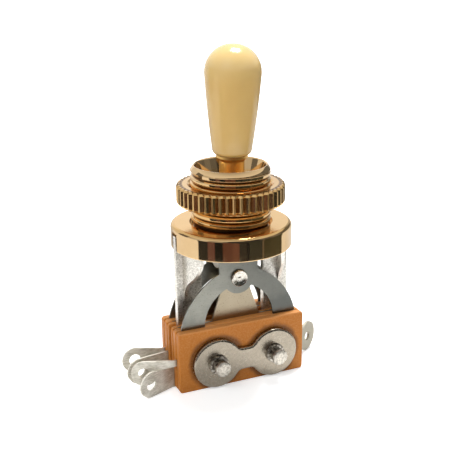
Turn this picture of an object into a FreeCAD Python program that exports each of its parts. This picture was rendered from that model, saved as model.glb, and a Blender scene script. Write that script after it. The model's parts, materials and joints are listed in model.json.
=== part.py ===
"""Toggle switch with an open contact stack, for mounting in a round panel hole.

Frame: +Z up along the bushing, origin on the bushing axis at the cap's top face, where the
panel seats. X runs along the insulator plates' long side, and the lever swings in the YZ plane.
"""
import os
import math
from collections import namedtuple
import FreeCAD, Part
from FreeCAD import Vector

# Threaded bushing
thread_r = 6.0            # crest radius of the fine mounting thread
bushing_top_z = 8.7
rim_r = 5.7               # outer radius of the rim above the bevel
rim_bevel_h = 0.7
funnel_mouth_r = 5.31
funnel_throat_r = 2.75
funnel_bottom_z = 0.6
bushing_flange_t = 1.6
bushing_flange_gap = 1.41  # between the flange and the inside of the cap's skirt

# Cap over the top of the can
cap_r = 9.16
cap_top_t = 0.76
cap_skirt_depth = 3.55
cap_skirt_t = 0.55
cap_top_round = 0.65
cap_foot_round = 0.15
cap_hole_clearance = 0.27
cap_notch_w = 1.86

# Knurled nut
nut_wall = 2.14           # from the thread's crests to the tooth tips
nut_z = 3.0
nut_h = 2.9
nut_teeth = 48
nut_tooth_depth = 0.53
nut_top_chamfer = 0.12
nut_foot_chamfer = 0.3
nut_mouth_chamfer = 0.45
nut_clearance = 0.05

# Can, an open sleeve with a window in front and one behind
can_cap_gap = 0.49        # between the can and the inside of the cap's skirt
can_t = 0.52
can_ring_h = 3.0
tongue_top_half_w = 4.3
tongue_end_half_w = 0.5
tongue_end_z = -11.6
TONGUE_EDGE = (           # a tongue's half width and height on the way down
    (4.18, -5.3),
    (3.25, -7.1),
    (1.6, -8.7),
    (0.8, -10.2),
)
yoke_slot_clearance = 0.03

# Flat yoke between the two contact stacks
yoke_t = 1.0
yoke_arm_w = 4.01         # from the cap's outside inwards
yoke_foot_h = 9.0         # height of the foot that the stack clamps
yoke_foot_drop = 0.5      # the foot's top below the plates' top edge
yoke_shoulder_gap = 0.5   # under the bushing's flange

# Insulator plates, listed from the outside of the stack inwards
plate_w = 20.78
plate_h = 9.77
plate_top_z = -15.29
plate_corner_r = 0.5
plate_edge_round = 0.15
outer_plate_t = 1.15
middle_plate_t = 1.05
stack_half_t = 3.89

# Contact leaves
leaf_t = 0.3
leaf_foot_side_inset = 0.89  # the clamped foot's ends inside the plates' ends
leaf_foot_inset = 0.45    # the clamped foot's bottom above the plates' bottom edge
blade_seam_gap = 0.06
blade_neck_top_z = -3.9
blade_neck_w = 6.3
blade_shoulder_z = -7.3
blade_shoulder_mid_x = 7.1
blade_shoulder_mid_z = -10.35
blade_foot_inset = 0.89   # the legs' outer edges inside the plates' ends
blade_leg_w = 3.78
blade_arch_top_z = -9.35
blade_arch_mid_x = 4.08
blade_arch_mid_z = -11.27
blade_boss_r = 2.5        # round boss about the contact
tapered_top_w = 2.4
tapered_foot_w = 7.94
tapered_top_z = -7.1
contact_z = -8.35
contact_head_r = 1.33
contact_head_h = 0.45
contact_head_round = 0.36
contact_face_r = 0.95
leaf_contact_t = 0.2
contact_gap = 0.65

# Solder lugs, each given by its hole's place and the height of its root, with the heights
# counted down from the plates' top edge
lug_r = 2.0
lug_hole_r = 0.9
lug_bend_gap = 0.36       # from the plates' end to where a lug turns
LUGS = {                  # hole x, hole y, hole drop, root top drop, root bottom drop
    "front_arched": (-15.0, -0.95, 6.65, 4.65, 5.6),
    "front_tapered": (-14.6, -2.8, 7.7, 6.45, 9.7),
    "rear_arched": (-15.35, 2.6, 5.85, 4.8, 7.4),
    "rear_tapered": (-15.3, 0.55, 6.8, 4.8, 6.6),
}
ground_lug_r = 2.45
ground_lug_hole_r = 0.75
ground_lug_t = 0.4
ground_lug_drop = 7.2
ground_lug_root_h = 3.0
ground_lug_bend_gap = 1.81  # from the plates' end to where it turns
ground_lug_reach = 2.2    # hole distance beyond the bend
ground_lug_angle = 33.5   # turned towards the rear

# Clamp plates, pins and their insulating sleeves
pin_mid_x = 0.35          # the pair of pins stands a little off the stack's middle
pin_end_inset = 5.67      # each pin's distance inside the plates' end, about that middle
pin_drop = 5.66           # pin height below the plates' top edge
pin_r = 1.05
pin_stand = 2.1
pin_end_round = 0.2
pin_collar_r = 1.5
pin_collar_h = 0.45
pin_collar_round = 0.15
sleeve_t = 0.45
sleeve_clearance = 0.03
clamp_t = 0.8
clamp_lobe_r = 3.92
clamp_waist_h = 3.6
clamp_waist_round = 1.2
clamp_edge_round = 0.38

# Lever, its cross pin and the shoe on its foot
pivot_depth = 1.0         # cross pin's axis below the bushing flange's top
lever_rest_tilt = 3.3     # degrees towards the front, as it rests in the middle position
lever_r = 1.87
lever_waist_r = 1.6
lever_collar_r = 2.35
lever_collar_h = 0.35
lever_flare_h = 0.55      # the cone under the collar
lever_foot_half_w = 1.2
lever_foot_half_t = 0.8
lever_foot_depth = 0.9    # how far the foot reaches below the shoe's centre
cross_pin_r = 0.7
cross_pin_clearance = 0.03
shoe_half_w = 2.6
shoe_z = -5.0
shoe_clearance = 0.06     # to the rear blade, at rest
shoe_slot_clearance = 0.03
shoe_shoulder_gap = 0.05

# Tip pushed over the lever's upper end
tip_bottom_z = 10.37
tip_top_z = 26.28
tip_widest_z = 21.7
tip_max_r = 4.07
tip_dome_mid_r = 3.22
tip_dome_mid_z = 24.8
tip_side_bulge = 0.08     # outwards of a straight side, halfway down
tip_bottom_r = 2.97
tip_bottom_round = 0.9
tip_socket_top_z = 19.0


LugPlace = namedtuple("LugPlace", "hole_x hole_y hole_drop root_top root_bottom")


def write(shape, node):
    """Checks a node's shape and writes it to its own file."""
    if not shape.isValid():
        raise ValueError(node + " isn't valid")
    shape.exportStep("parts/" + node + ".step")


def box(x0, x1, y0, y1, z0, z1):
    return Part.makeBox(x1 - x0, y1 - y0, z1 - z0, Vector(x0, y0, z0))


def upright(radius, z0, z1):
    return Part.makeCylinder(radius, z1 - z0, Vector(0, 0, z0))


def along_y(radius, x, z, y0, y1):
    return Part.makeCylinder(radius, y1 - y0, Vector(x, y0, z), Vector(0, 1, 0))


def along_x(radius, x0, x1, y, z):
    return Part.makeCylinder(radius, x1 - x0, Vector(x0, y, z), Vector(1, 0, 0))


def turned(profile):
    """A solid turned about Z from a closed profile of (radius, height) points."""
    points = [Vector(r, 0, z) for r, z in profile]
    face = Part.Face(Part.makePolygon(points + points[:1]))
    return face.revolve(Vector(0, 0, 0), Vector(0, 0, 1), 360)


def plate_from(wire, y0, y1):
    """A flat piece from a closed wire in the XZ plane, between two depths."""
    face = Part.Face(wire)
    flat = face.extrude(Vector(0, y1 - y0, 0))
    flat.translate(Vector(0, y0, 0))
    return flat


def arc_xz(a, b, c):
    return Part.Arc(Vector(a[0], 0, a[1]), Vector(b[0], 0, b[1]), Vector(c[0], 0, c[1])).toShape()


def line_xz(a, b):
    return Part.makeLine(Vector(a[0], 0, a[1]), Vector(b[0], 0, b[1]))


def rounded_block(x0, x1, y0, y1, z0, z1, radius):
    """A plate whose four corners are rounded about Y."""
    block = box(x0, x1, y0, y1, z0, z1)
    corners = [e for e in block.Edges if abs(e.Vertexes[0].Y - e.Vertexes[1].Y) > (y1 - y0) / 2]
    return block.makeFillet(radius, corners)


def mirrored(shape):
    """The same piece on the other side of the XZ plane."""
    return shape.mirror(Vector(0, 0, 0), Vector(0, 1, 0))


# Widths that follow from the thread's, the cap's and the plates'
bushing_flange_r = cap_r - cap_skirt_t - bushing_flange_gap
nut_r = thread_r + nut_wall
can_r = cap_r - cap_skirt_t - can_cap_gap
yoke_arm_inner_x = cap_r - yoke_arm_w
plate_half_w = plate_w / 2
leaf_foot_half_w = plate_half_w - leaf_foot_side_inset
blade_foot_outer_x = plate_half_w - blade_foot_inset
blade_foot_inner_x = blade_foot_outer_x - blade_leg_w
lug_bend_x = plate_half_w + lug_bend_gap
ground_lug_bend_x = plate_half_w + ground_lug_bend_gap
pin_half_gap = plate_half_w - pin_end_inset

# Depths of the layers on the front side, where front is -Y, counted from the outside inwards
outer_y0 = -stack_half_t
blade_y0 = outer_y0 + outer_plate_t
middle_y0 = blade_y0 + leaf_t
tapered_y0 = middle_y0 + middle_plate_t
inner_y0 = tapered_y0 + leaf_t
inner_y1 = -yoke_t / 2
plate_bottom_z = plate_top_z - plate_h
pin_z = plate_top_z - pin_drop
sleeve_outer_r = pin_r + sleeve_clearance + sleeve_t
sleeve_hole_r = sleeve_outer_r + sleeve_clearance
blade_bottom_z = plate_top_z + blade_seam_gap
contact_shank_r = contact_head_r / 2
pivot_z = -cap_top_t - pivot_depth
shoe_rest_y = (pivot_z - shoe_z) * math.sin(math.radians(lever_rest_tilt))
shoe_r = -middle_y0 - shoe_rest_y - shoe_clearance


def pin_x(side):
    return pin_mid_x + side * pin_half_gap


def drilled(shape, radius):
    """The two holes that the clamping pins pass through."""
    for side in (-1, 1):
        hole = along_y(radius, pin_x(side), pin_z, -2 * stack_half_t, 2 * stack_half_t)
        shape = shape.cut(hole)
    return shape


def make_bushing():
    flange_top = -cap_top_t
    body = turned([
        (funnel_throat_r, flange_top - bushing_flange_t),
        (bushing_flange_r, flange_top - bushing_flange_t),
        (bushing_flange_r, flange_top),
        (thread_r, flange_top),
        (thread_r, bushing_top_z - rim_bevel_h),
        (rim_r, bushing_top_z),
        (funnel_mouth_r, bushing_top_z),
        (funnel_throat_r, funnel_bottom_z),
    ])
    return body.cut(along_x(cross_pin_r, -bushing_flange_r, bushing_flange_r, 0, pivot_z))


def edges_at(shape, height):
    """The edges that lie flat at one height."""
    return [e for e in shape.Edges if abs(e.BoundBox.ZMin - height) + e.BoundBox.ZLength < cap_foot_round]


def make_cap():
    cup = upright(cap_r, -cap_skirt_depth, 0)
    cup = cup.makeFillet(cap_top_round, edges_at(cup, 0))
    cup = cup.makeFillet(cap_foot_round, edges_at(cup, -cap_skirt_depth))
    cup = cup.cut(upright(cap_r - cap_skirt_t, -2 * cap_skirt_depth, -cap_top_t))
    cup = cup.cut(upright(thread_r + cap_hole_clearance, -cap_skirt_depth, cap_skirt_depth))
    for side in (-1, 1):
        x0, x1 = sorted((side * bushing_flange_r, side * 2 * cap_r))
        notch = box(x0, x1, -cap_notch_w / 2, cap_notch_w / 2, -2 * cap_skirt_depth, -cap_top_t)
        cup = cup.cut(notch)
    return cup


def make_nut():
    """A ring with a straight knurl of V teeth, and a chamfered mouth at both ends."""
    bore_r = thread_r + nut_clearance
    top_z = nut_z + nut_h
    ring = turned([
        (bore_r, nut_z + nut_mouth_chamfer),
        (bore_r + nut_mouth_chamfer, nut_z),
        (nut_r - nut_foot_chamfer, nut_z),
        (nut_r, nut_z + nut_foot_chamfer),
        (nut_r, top_z - nut_top_chamfer),
        (nut_r - nut_top_chamfer, top_z),
        (bore_r + nut_mouth_chamfer, top_z),
        (bore_r, top_z - nut_mouth_chamfer),
    ])
    step = 2 * math.pi / nut_teeth
    points = []
    for i in range(nut_teeth):
        points.append(Vector(nut_r * math.cos(i * step), nut_r * math.sin(i * step), 0))
        valley = nut_r - nut_tooth_depth
        angle = (i + 0.5) * step
        points.append(Vector(valley * math.cos(angle), valley * math.sin(angle), 0))
    star = Part.Face(Part.makePolygon(points + points[:1]))
    star.translate(Vector(0, 0, nut_z))
    return ring.common(star.extrude(Vector(0, 0, nut_h)))


def tongue_block():
    """A block across the whole can, as wide as the side tongues are at each height."""
    ring_z = -cap_top_t - can_ring_h
    steps = [(tongue_top_half_w, ring_z), *TONGUE_EDGE, (tongue_end_half_w, tongue_end_z)]
    edges = []
    for side in (-1, 1):
        curve = Part.BSplineCurve()
        curve.interpolate([Vector(side * half_w, 0, z) for half_w, z in steps])
        edges.append(curve.toShape())
    edges.append(line_xz((-tongue_end_half_w, tongue_end_z), (tongue_end_half_w, tongue_end_z)))
    edges.append(line_xz((-tongue_top_half_w, ring_z), (tongue_top_half_w, ring_z)))
    block = plate_from(Part.Wire(Part.__sortEdges__(edges)), -2 * can_r, 2 * can_r)
    block.rotate(Vector(0, 0, 0), Vector(0, 0, 1), 90)
    return block


def make_can():
    """A ring under the cap with two side tongues, each slotted for the yoke."""
    top = -cap_top_t
    ring_z = top - can_ring_h
    ring = upright(can_r, ring_z, top).cut(upright(can_r - can_t, ring_z, top))
    wall = upright(can_r, tongue_end_z, ring_z).cut(upright(can_r - can_t, tongue_end_z, ring_z))
    sleeve = ring.fuse(wall.common(tongue_block())).removeSplitter()
    half_slot = yoke_t / 2 + yoke_slot_clearance
    for side in (-1, 1):
        x0, x1 = sorted((side * yoke_arm_inner_x, side * 2 * can_r))
        sleeve = sleeve.cut(box(x0, x1, -half_slot, half_slot, 2 * tongue_end_z, top - yoke_shoulder_gap))
    return sleeve


def make_yoke():
    """A flat plate with two arms that rise through the can's slots, and a wide foot."""
    top = -cap_top_t - yoke_shoulder_gap
    foot_top = plate_top_z - yoke_foot_drop
    half_t = yoke_t / 2
    yoke = box(-cap_r, cap_r, -half_t, half_t, foot_top - yoke_foot_h, foot_top)
    arm_top = -cap_top_t - bushing_flange_t - yoke_shoulder_gap
    for side in (-1, 1):
        x0, x1 = sorted((side * yoke_arm_inner_x, side * cap_r))
        yoke = yoke.fuse(box(x0, x1, -half_t, half_t, foot_top, arm_top))
        x0, x1 = sorted((side * (can_r - can_t), side * cap_r))
        yoke = yoke.fuse(box(x0, x1, -half_t, half_t, arm_top, top))
    yoke = yoke.removeSplitter()
    return drilled(yoke, sleeve_hole_r)


def make_plate(y0, y1, hole_r):
    """An insulator plate with rounded corners and softened edges."""
    plate = rounded_block(-plate_half_w, plate_half_w, y0, y1, plate_bottom_z, plate_top_z, plate_corner_r)
    flat = [e for e in plate.Edges if e.BoundBox.YLength < plate_edge_round]
    return drilled(plate.makeFillet(plate_edge_round, flat), hole_r)


def make_clamp_plate():
    """A figure-eight plate: two round lobes joined by a waist, rounded on its outer edge."""
    y0, y1 = outer_y0 - clamp_t, outer_y0
    plate = box(pin_x(-1), pin_x(1), y0, y1, pin_z - clamp_waist_h / 2, pin_z + clamp_waist_h / 2)
    for side in (-1, 1):
        plate = plate.fuse(along_y(clamp_lobe_r, pin_x(side), pin_z, y0, y1))
    plate = plate.removeSplitter()
    creases = [e for e in plate.Edges if e.BoundBox.XLength + e.BoundBox.ZLength < clamp_edge_round]
    creases = [e for e in creases if abs(e.BoundBox.XMin - pin_mid_x) < clamp_lobe_r]
    plate = plate.makeFillet(clamp_waist_round, creases)
    front = [e for e in plate.Edges if e.BoundBox.YMax < y0 + clamp_edge_round]
    return drilled(plate.makeFillet(clamp_edge_round, front), pin_r)


def make_pin(side):
    """A clamping pin with a collar on each clamp plate and a rounded end."""
    plate_face = stack_half_t + clamp_t
    y_end = plate_face + pin_stand
    pin = along_y(pin_r, pin_x(side), pin_z, -y_end, y_end)
    ends = [e for e in pin.Edges if e.BoundBox.YLength < pin_end_round]
    pin = pin.makeFillet(pin_end_round, ends)
    for y0, y1 in ((-plate_face - pin_collar_h, -plate_face), (plate_face, plate_face + pin_collar_h)):
        collar = along_y(pin_collar_r, pin_x(side), pin_z, y0, y1)
        outer_y = max(y0, y1, key=abs)
        rims = [e for e in collar.Edges if abs(e.BoundBox.YMin - outer_y) + e.BoundBox.YLength < pin_collar_h / 2]
        pin = pin.fuse(collar.makeFillet(pin_collar_round, rims))
    return pin.removeSplitter()


def make_sleeve(side):
    inner_r = pin_r + sleeve_clearance
    tube = along_y(sleeve_outer_r, pin_x(side), pin_z, outer_y0, -outer_y0)
    return tube.cut(along_y(inner_r, pin_x(side), pin_z, outer_y0, -outer_y0))


def blade_outline():
    """The arched blade: a neck on top, round shoulders and two legs."""
    half_neck = blade_neck_w / 2
    shoulder_mid = (blade_shoulder_mid_x, blade_shoulder_mid_z)
    arch_mid = (blade_arch_mid_x, blade_arch_mid_z)
    foot = blade_foot_outer_x
    heel = blade_foot_inner_x
    return Part.Wire([
        line_xz((-half_neck, blade_neck_top_z), (half_neck, blade_neck_top_z)),
        line_xz((half_neck, blade_neck_top_z), (half_neck, blade_shoulder_z)),
        arc_xz((half_neck, blade_shoulder_z), shoulder_mid, (foot, blade_bottom_z)),
        line_xz((foot, blade_bottom_z), (heel, blade_bottom_z)),
        arc_xz((heel, blade_bottom_z), arch_mid, (0, blade_arch_top_z)),
        arc_xz((0, blade_arch_top_z), (-arch_mid[0], arch_mid[1]), (-heel, blade_bottom_z)),
        line_xz((-heel, blade_bottom_z), (-foot, blade_bottom_z)),
        arc_xz((-foot, blade_bottom_z), (-shoulder_mid[0], shoulder_mid[1]), (-half_neck, blade_shoulder_z)),
        line_xz((-half_neck, blade_shoulder_z), (-half_neck, blade_neck_top_z)),
    ])


def make_blade():
    """The arched blade with its round boss and the hole for the contact's shank."""
    blade = plate_from(blade_outline(), blade_y0, blade_y0 + leaf_t)
    blade = blade.fuse(along_y(blade_boss_r, 0, contact_z, blade_y0, blade_y0 + leaf_t)).removeSplitter()
    return blade.cut(along_y(contact_shank_r, 0, contact_z, blade_y0, blade_y0 + leaf_t))


def make_contact():
    """A contact rivet: a domed head in front, a shank and a flatter head on the inside."""
    inside = tapered_y0 - leaf_contact_t - contact_gap
    head = along_y(contact_head_r, 0, contact_z, blade_y0 - contact_head_h, blade_y0)
    rims = [e for e in head.Edges if e.BoundBox.YMax < blade_y0 - contact_head_h / 2]
    head = head.makeFillet(contact_head_round, rims)
    shank = along_y(contact_shank_r, 0, contact_z, blade_y0, inside)
    inner = along_y(contact_face_r, 0, contact_z, blade_y0 + leaf_t, inside)
    return head.fuse(shank).fuse(inner).removeSplitter()


def bent_lug(which, y0):
    """A lug that leaves the stack in its own plane, then turns so that its hole is in place.

    The leaf behind it lies between y0 and y0 + leaf_t.
    """
    place = LugPlace(*LUGS[which])
    root_top = plate_top_z - place.root_top
    root_bottom = plate_top_z - place.root_bottom
    run = -place.hole_x - lug_bend_x
    rise = place.hole_y - (y0 + leaf_t / 2)
    length = math.hypot(run, rise)
    down = plate_top_z - place.hole_drop
    arm = plate_from(Part.makePolygon([
        Vector(0, 0, root_bottom),
        Vector(0, 0, root_top),
        Vector(-length, 0, down + lug_r),
        Vector(-length, 0, min(root_bottom, down)),
        Vector(0, 0, root_bottom),
    ]), -leaf_t / 2, leaf_t / 2)
    ring = along_y(lug_r, -length, down, -leaf_t / 2, leaf_t / 2)
    lug = arm.fuse(ring).cut(along_y(lug_hole_r, -length, down, -leaf_t / 2, leaf_t / 2))
    knee = Part.makeCylinder(leaf_t / 2, root_top - root_bottom, Vector(0, 0, root_bottom))
    lug = lug.fuse(knee)
    lug.rotate(Vector(0, 0, 0), Vector(0, 0, 1), -math.degrees(math.atan2(rise, run)))
    lug.translate(Vector(-lug_bend_x, y0 + leaf_t / 2, 0))
    root = box(-lug_bend_x, -leaf_foot_half_w, y0, y0 + leaf_t, root_bottom, root_top)
    return root.fuse(lug)


def make_leaf_foot(which, y0):
    """The part of a leaf that the stack clamps, with its solder lug."""
    foot_bottom = plate_bottom_z + leaf_foot_inset
    foot = box(-leaf_foot_half_w, leaf_foot_half_w, y0, y0 + leaf_t, foot_bottom, plate_top_z)
    leaf = foot.fuse(bent_lug(which, y0)).removeSplitter()
    return drilled(leaf, sleeve_hole_r)


def make_tapered_leaf(which, y0):
    """A tapered blade that stands up from the clamped foot."""
    half_top = tapered_top_w / 2
    half_foot = tapered_foot_w / 2
    blade = plate_from(Part.makePolygon([
        Vector(-half_top, 0, tapered_top_z),
        Vector(half_top, 0, tapered_top_z),
        Vector(half_foot, 0, plate_top_z),
        Vector(-half_foot, 0, plate_top_z),
        Vector(-half_top, 0, tapered_top_z),
    ]), y0, y0 + leaf_t)
    return blade.fuse(make_leaf_foot(which, y0)).removeSplitter()


def make_tapered_contact():
    """The contact face riveted to the top of the tapered leaf."""
    return along_y(contact_face_r, 0, contact_z, tapered_y0 - leaf_contact_t, tapered_y0)


def make_lever():
    """The upright lever: a stem for the tip, a collar, the shaft and a flat foot in the shoe."""
    shaft_end = shoe_z + shoe_r + shoe_shoulder_gap
    shaft = turned([
        (0, tip_socket_top_z),
        (lever_waist_r, tip_socket_top_z),
        (lever_waist_r, tip_bottom_z),
        (lever_collar_r, tip_bottom_z),
        (lever_collar_r, tip_bottom_z - lever_collar_h),
        (lever_r, tip_bottom_z - lever_collar_h - lever_flare_h),
        (lever_r, shaft_end),
        (0, shaft_end),
    ])
    foot = box(-lever_foot_half_w, lever_foot_half_w, -lever_foot_half_t, lever_foot_half_t,
               shoe_z - lever_foot_depth, shaft_end)
    lever = shaft.fuse(foot)
    bore = along_x(cross_pin_r + cross_pin_clearance, -2 * lever_r, 2 * lever_r, 0, pivot_z)
    return lever.cut(bore).removeSplitter()


def make_shoe():
    """A moulded drum on the lever's foot, which pushes the blades' necks."""
    drum = along_x(shoe_r, -shoe_half_w, shoe_half_w, 0, shoe_z)
    half_w = lever_foot_half_w + shoe_slot_clearance
    half_t = lever_foot_half_t + shoe_slot_clearance
    bottom = shoe_z - lever_foot_depth - shoe_slot_clearance
    return drum.cut(box(-half_w, half_w, -half_t, half_t, bottom, shoe_z + 2 * shoe_r))


def make_tip():
    """The moulded tip: domed above its widest ring, tapering down to a rounded lower end."""
    low_z = tip_bottom_z + tip_bottom_round
    in_r = tip_bottom_r - tip_bottom_round
    side_mid = ((tip_max_r + tip_bottom_r) / 2 + tip_side_bulge, (tip_widest_z + low_z) / 2)
    turn = tip_bottom_round * math.sqrt(0.5)
    edges = [
        arc_xz((0, tip_top_z), (tip_dome_mid_r, tip_dome_mid_z), (tip_max_r, tip_widest_z)),
        arc_xz((tip_max_r, tip_widest_z), side_mid, (tip_bottom_r, low_z)),
        arc_xz((tip_bottom_r, low_z), (in_r + turn, low_z - turn), (in_r, tip_bottom_z)),
        line_xz((in_r, tip_bottom_z), (0, tip_bottom_z)),
        line_xz((0, tip_bottom_z), (0, tip_top_z)),
    ]
    body = Part.Face(Part.Wire(edges)).revolve(Vector(0, 0, 0), Vector(0, 0, 1), 360)
    return body.cut(upright(lever_waist_r, tip_bottom_z, tip_socket_top_z))


def make_cross_pin():
    return along_x(cross_pin_r, -bushing_flange_r, bushing_flange_r, 0, pivot_z)


def make_ground_lug():
    """A lug that lies beside the yoke's foot and turns towards the rear outside the plates."""
    y0, y1 = yoke_t / 2 - ground_lug_t, yoke_t / 2
    hole_z = plate_top_z - ground_lug_drop
    half_h = ground_lug_root_h / 2
    root = box(cap_r, ground_lug_bend_x, y0, y1, hole_z - half_h, hole_z + half_h)
    arm = box(0, ground_lug_reach, -ground_lug_t / 2, ground_lug_t / 2, hole_z - half_h, hole_z + half_h)
    arm = arm.fuse(along_y(ground_lug_r, ground_lug_reach, hole_z, -ground_lug_t / 2, ground_lug_t / 2))
    arm = arm.cut(along_y(ground_lug_hole_r, ground_lug_reach, hole_z, -ground_lug_t / 2, ground_lug_t / 2))
    knee = Part.makeCylinder(ground_lug_t / 2, 2 * half_h, Vector(0, 0, hole_z - half_h))
    arm = arm.fuse(knee)
    arm.rotate(Vector(0, 0, 0), Vector(0, 0, 1), ground_lug_angle)
    arm.translate(Vector(ground_lug_bend_x, (y0 + y1) / 2, 0))
    return root.fuse(arm).removeSplitter()


def tilted(shape):
    """A lever piece turned about the cross pin to where it rests."""
    shape = shape.copy()
    shape.rotate(Vector(0, 0, pivot_z), Vector(1, 0, 0), lever_rest_tilt)
    return shape


os.makedirs("parts", exist_ok=True)
write(make_bushing(), "threaded_bushing")
write(make_cap(), "cap")
write(make_nut(), "knurled_nut")
write(make_can(), "can_sleeve")
write(make_yoke(), "yoke_plate")
write(make_cross_pin(), "lever_cross_pin")
write(tilted(make_lever()), "lever")
write(tilted(make_shoe()), "lever_shoe")
write(tilted(make_tip()), "lever_tip")
write(make_ground_lug(), "ground_lug")

front_pieces = {
    "outer_insulator": make_plate(outer_y0, blade_y0, sleeve_hole_r),
    "middle_insulator": make_plate(middle_y0, tapered_y0, sleeve_hole_r),
    "inner_insulator": make_plate(inner_y0, inner_y1, sleeve_hole_r),
    "arched_blade": make_blade(),
    "blade_contact": make_contact(),
    "leaf_contact": make_tapered_contact(),
    "clamp_plate": make_clamp_plate(),
}
for name, shape in front_pieces.items():
    write(shape, "front_" + name)
    write(mirrored(shape), "rear_" + name)

rear_blade_y0 = -blade_y0 - leaf_t
rear_tapered_y0 = -tapered_y0 - leaf_t
write(make_leaf_foot("front_arched", blade_y0), "front_blade_foot")
write(make_leaf_foot("rear_arched", rear_blade_y0), "rear_blade_foot")
write(make_tapered_leaf("front_tapered", tapered_y0), "front_tapered_leaf")
write(make_tapered_leaf("rear_tapered", rear_tapered_y0), "rear_tapered_leaf")

for side, word in ((-1, "left"), (1, "right")):
    write(make_pin(side), word + "_clamp_pin")
    write(make_sleeve(side), word + "_pin_sleeve")
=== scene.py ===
# %% [markdown]
# # A panel toggle switch, dressed for its portrait
#
# The switch is a small machine of gold-plated turned parts, a nickel can and a clamped
# stack of contact leaves. Its exact solids come from a CAD program and are loaded as a
# fixed frame. This lesson adds what a solid can't carry: the fine thread, the knurled
# rim of the nut, the dished rivets, and a finish for every surface.

# %% The frame
import bpy
import bmesh
import json
import math
from mathutils import Matrix, Vector


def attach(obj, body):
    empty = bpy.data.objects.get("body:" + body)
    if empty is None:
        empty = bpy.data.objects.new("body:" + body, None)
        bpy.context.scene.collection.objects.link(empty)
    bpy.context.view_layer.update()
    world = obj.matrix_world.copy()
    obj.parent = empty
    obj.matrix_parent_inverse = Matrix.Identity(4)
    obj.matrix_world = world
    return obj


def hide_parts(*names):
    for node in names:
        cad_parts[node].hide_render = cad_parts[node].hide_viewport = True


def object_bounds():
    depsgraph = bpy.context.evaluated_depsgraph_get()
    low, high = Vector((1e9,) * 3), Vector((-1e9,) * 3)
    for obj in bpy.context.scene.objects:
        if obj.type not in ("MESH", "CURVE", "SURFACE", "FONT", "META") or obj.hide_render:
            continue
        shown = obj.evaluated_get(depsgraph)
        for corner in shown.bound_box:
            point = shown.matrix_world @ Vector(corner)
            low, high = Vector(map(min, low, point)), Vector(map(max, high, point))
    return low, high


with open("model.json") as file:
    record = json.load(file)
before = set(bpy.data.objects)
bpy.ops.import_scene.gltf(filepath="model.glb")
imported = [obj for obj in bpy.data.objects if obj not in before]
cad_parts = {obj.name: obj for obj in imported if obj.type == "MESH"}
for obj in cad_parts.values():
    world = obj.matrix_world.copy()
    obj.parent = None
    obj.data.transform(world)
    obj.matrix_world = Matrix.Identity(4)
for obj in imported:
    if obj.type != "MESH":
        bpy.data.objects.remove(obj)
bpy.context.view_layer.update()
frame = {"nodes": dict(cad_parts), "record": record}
MM = 0.001


def corners_of(name):
    """The corners of a solid's box, where the solid stands."""
    solid = frame["nodes"][name]
    return [solid.matrix_world @ Vector(corner) for corner in solid.bound_box]


def middle_of(corners):
    """The point halfway between a box's corners."""
    return sum(corners, Vector()) / len(corners)

# %% [markdown]
# ## The camera
#
# The picture was taken from a little to the left of the front and from above. A camera
# has a place, a direction and a lens. Here all three were fitted to edges whose place on
# the object is known, so the render lines up with the picture edge for edge. The lens
# follows from the focal length in picture widths, because Blender's sensor is 36 mm wide.

# %% Camera
picture_px = 450
focal_px = 838.169
camera_turn = math.radians(23.117)
camera_pitch = math.radians(17.671)
camera_roll = math.radians(0.889)
camera_distance = 126.497 * MM
aim_right = -0.907 * MM
aim_up = -0.764 * MM

ahead = Vector((math.sin(camera_turn) * math.cos(camera_pitch),
                math.cos(camera_turn) * math.cos(camera_pitch),
                -math.sin(camera_pitch)))
level_right = Vector((math.cos(camera_turn), -math.sin(camera_turn), 0))
level_up = level_right.cross(ahead)
right = math.cos(camera_roll) * level_right - math.sin(camera_roll) * level_up
up = math.sin(camera_roll) * level_right + math.cos(camera_roll) * level_up
place = level_right * aim_right + Vector((0, 0, aim_up)) - ahead * camera_distance

lens = bpy.data.cameras.new("portrait_lens")
lens.sensor_width = 36
lens.lens = focal_px / picture_px * lens.sensor_width
lens.clip_start = 5 * MM
lens.clip_end = 10
camera = bpy.data.objects.new("portrait_camera", lens)
turned = Matrix((right, up, -ahead)).transposed().to_4x4()
camera.matrix_world = Matrix.Translation(place) @ turned
bpy.context.collection.objects.link(camera)
bpy.context.scene.camera = camera
print("camera at", [round(v / MM, 1) for v in place], "mm, lens", round(lens.lens, 2), "mm")

# %% [markdown]
# ## Writing shader maths as Python
#
# A material is a small circuit of nodes. Wiring it by hand in code gets long, so two
# small classes help. `Signal` wraps one output socket, and a sum on it adds a Math node.
# `Circuit` holds a material's tree, and its method `add` makes any other node from its
# type, its settings and the values or links of its sockets. The rest of its methods are
# short names for the nodes used most. Its `place` gives millimetres, so every radius,
# height and width in a material is one too.

# %% Signals and circuits
class Signal:
    """One output of a node. Sums with numbers or other signals add Math nodes."""

    def __init__(self, circuit, socket):
        self.circuit = circuit
        self.socket = socket

    def _math(self, operation, first, second):
        sockets = {0: first, 1: second}
        return self.circuit.add("ShaderNodeMath", {"operation": operation}, sockets)

    def __add__(self, other):
        return self._math("ADD", self, other)

    def __radd__(self, other):
        return self._math("ADD", other, self)

    def __sub__(self, other):
        return self._math("SUBTRACT", self, other)

    def __rsub__(self, other):
        return self._math("SUBTRACT", other, self)

    def __mul__(self, other):
        return self._math("MULTIPLY", self, other)

    def __truediv__(self, other):
        return self._math("DIVIDE", self, other)

    def __pow__(self, other):
        return self._math("POWER", self, other)

    def __gt__(self, other):
        return self._math("GREATER_THAN", self, other)

    def at_least(self, other):
        return self._math("MAXIMUM", self, other)

    def at_most(self, other):
        return self._math("MINIMUM", self, other)


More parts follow.
